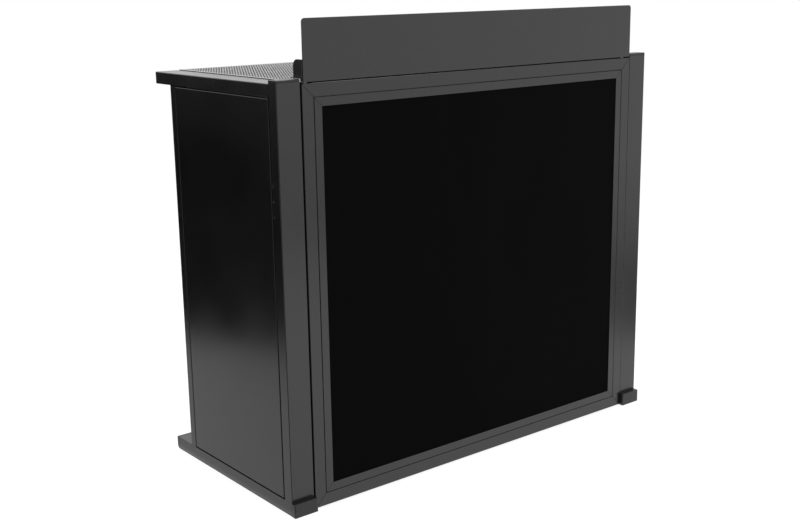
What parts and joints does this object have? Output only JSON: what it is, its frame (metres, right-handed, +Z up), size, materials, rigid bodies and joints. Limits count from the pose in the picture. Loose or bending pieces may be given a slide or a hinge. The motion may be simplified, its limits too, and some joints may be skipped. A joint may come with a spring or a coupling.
{
  "type": "dj booth",
  "caption": "Free-standing folding DJ booth: stretched-cloth front panel, hinged side wings, perforated lift-off tabletop and a header sheet.",
  "frame": {"origin": "middle of the footprint, on the floor", "axes": "+X along the front to the viewer's right, +Y from the front panel back to the operator, +Z up"},
  "size_m": [1.222, 0.576, 1.155],
  "materials": {
    "powder_coat": "satin black powder coat, fine orange peel",
    "panel_coat": "satin black powder coat on smooth sheet",
    "perforated_coat": "satin black powder coat on perforated sheet",
    "cap_plastic": "fine-textured black plastic",
    "knob_plastic": "moulded black plastic",
    "rubber": "matt black rubber",
    "silicone": "translucent white silicone strip",
    "cloth": "matt black stretch knit",
    "zinc_steel": "zinc plated",
    "hinge_steel": "black oxide steel",
    "rivet_black": "black flush rivet"
  },
  "bodies": {
    "front_panel": {"bezel_bottom": "powder_coat", "bezel_left": "powder_coat", "bezel_right": "powder_coat", "bezel_screws": "zinc_steel", "bezel_top": "powder_coat", "frame_bottom": "powder_coat", "frame_corner_keys": "zinc_steel", "frame_left": "powder_coat", "frame_right": "powder_coat", "frame_top": "powder_coat", "left_hinge_frame_leaves": "hinge_steel", "left_hinge_pins": "zinc_steel", "right_hinge_frame_leaves": "hinge_steel", "right_hinge_pins": "zinc_steel", "scrim": "cloth", "scrim_welts": "silicone", "table_front_pad": "rubber", "thumb_nuts": "zinc_steel"},
    "left_wing": {"left_foot_rail": "powder_coat", "left_foot_strip": "rubber", "left_front_post": "powder_coat", "left_heel_cap": "cap_plastic", "left_hinge_plate": "hinge_steel", "left_hinge_post_leaves": "hinge_steel", "left_hinge_rivets": "rivet_black", "left_panel_rivets": "zinc_steel", "left_post_cap": "cap_plastic", "left_rail_cap": "cap_plastic", "left_rear_post": "powder_coat", "left_side_panel": "panel_coat", "left_table_ledge": "powder_coat", "left_toe_cap": "cap_plastic", "left_top_rail": "powder_coat"},
    "right_wing": {"right_foot_rail": "powder_coat", "right_foot_strip": "rubber", "right_front_post": "powder_coat", "right_heel_cap": "cap_plastic", "right_hinge_plate": "hinge_steel", "right_hinge_post_leaves": "hinge_steel", "right_hinge_rivets": "rivet_black", "right_panel_rivets": "zinc_steel", "right_post_cap": "cap_plastic", "right_rail_cap": "cap_plastic", "right_rear_post": "powder_coat", "right_side_panel": "panel_coat", "right_table_ledge": "powder_coat", "right_toe_cap": "cap_plastic", "right_top_rail": "powder_coat"},
    "tabletop": {"table_rear_lip": "powder_coat", "table_sheet": "perforated_coat", "table_stiffener": "powder_coat"},
    "header": {"header_panel": "powder_coat", "left_header_bracket": "powder_coat", "right_header_bracket": "powder_coat"},
    "left_thumb": {"left_thumb_screw": "knob_plastic"},
    "right_thumb": {"right_thumb_screw": "knob_plastic"}
  },
  "joints": [
    {"name": "left_wing_fold", "type": "hinge", "parent": "front_panel", "child": "left_wing", "pos_m": [-0.54475, -0.2372, 0.508], "axis": [0, 0, -1], "range_deg": [0, 90]},
    {"name": "right_wing_fold", "type": "hinge", "parent": "front_panel", "child": "right_wing", "pos_m": [0.54475, -0.2372, 0.508], "axis": [0, 0, 1], "range_deg": [0, 90]},
    {"name": "table_lift", "type": "slide", "parent": "front_panel", "child": "tabletop", "axis": [0, 0, 1], "range_m": [0, 0.3]},
    {"name": "header_lift", "type": "slide", "parent": "tabletop", "child": "header", "axis": [0, 0, 1], "range_m": [0, 0.2]},
    {"name": "left_thumb_turn", "type": "hinge", "parent": "header", "child": "left_thumb", "pos_m": [-0.526, -0.259, 1.026], "axis": [0, 0, 1], "continuous": true},
    {"name": "right_thumb_turn", "type": "hinge", "parent": "header", "child": "right_thumb", "pos_m": [0.526, -0.259, 1.026], "axis": [0, 0, 1], "continuous": true}
  ]
}
